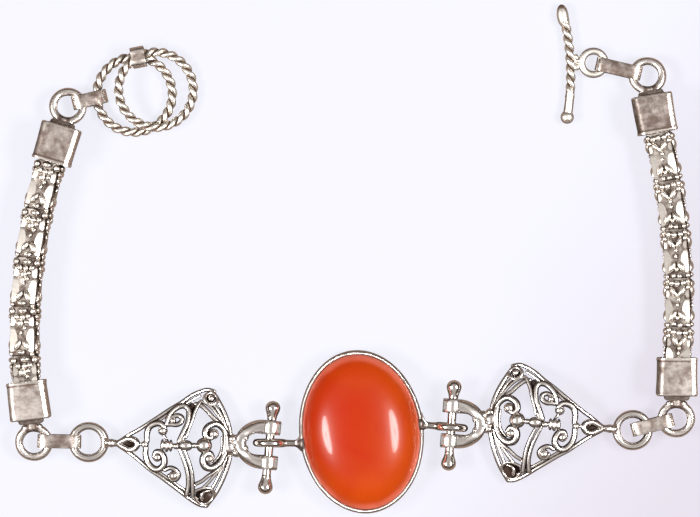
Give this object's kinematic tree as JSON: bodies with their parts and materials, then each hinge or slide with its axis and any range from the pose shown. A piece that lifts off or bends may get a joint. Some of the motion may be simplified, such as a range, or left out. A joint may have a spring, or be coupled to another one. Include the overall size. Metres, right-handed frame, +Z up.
{
  "type": "carnelian bracelet",
  "caption": "Silver toggle bracelet lying open: oval carnelian cabochon in a bezel, pin-hinged openwork fans, capped floral chains, rope-ring and bar clasp.",
  "frame": {"origin": "centre of the setting's flat back, where the bracelet rests", "axes": "+X along the wrist line from the clasp-ring side to the toggle-bar side, +Y towards the clasp, +Z up through the stone's dome"},
  "size_m": [0.0883, 0.0653, 0.0066],
  "materials": {
    "carnelian": "polished, slightly translucent orange-red cabochon",
    "polished_silver": "polished sterling silver with dark oxide in the recesses",
    "satin_silver": "satin silver sheet with fine scratches",
    "oxidised_silver": "cast silver, bright on the raised work and oxidised brown-black in the hollows"
  },
  "bodies": {
    "setting": {"carnelian_stone": "carnelian", "bezel_setting": "polished_silver"},
    "left_arm": {"left_hinge_pin": "polished_silver", "left_filigree_link": "oxidised_silver", "left_lower_strap": "satin_silver", "left_lower_cap": "satin_silver", "left_chain": "oxidised_silver", "left_upper_cap": "satin_silver", "left_upper_strap": "satin_silver", "clasp_ring_under": "polished_silver", "clasp_ring_over": "polished_silver", "clasp_ring_strap": "satin_silver"},
    "right_arm": {"right_hinge_pin": "polished_silver", "right_filigree_link": "oxidised_silver", "right_lower_strap": "satin_silver", "right_lower_cap": "satin_silver", "right_chain": "oxidised_silver", "right_upper_cap": "satin_silver", "right_upper_strap": "satin_silver", "toggle_bar": "polished_silver"}
  },
  "joints": [
    {"name": "left_hinge", "type": "hinge", "parent": "setting", "child": "left_arm", "pos_m": [-0.01175, -0.00141, 0.0023], "axis": [0.0958, 0.9954, 0], "range_deg": [-90, 90]},
    {"name": "right_hinge", "type": "hinge", "parent": "setting", "child": "right_arm", "pos_m": [0.01149, 0.00061, 0.0023], "axis": [-0.0732, -0.9973, 0], "range_deg": [-90, 90]}
  ]
}
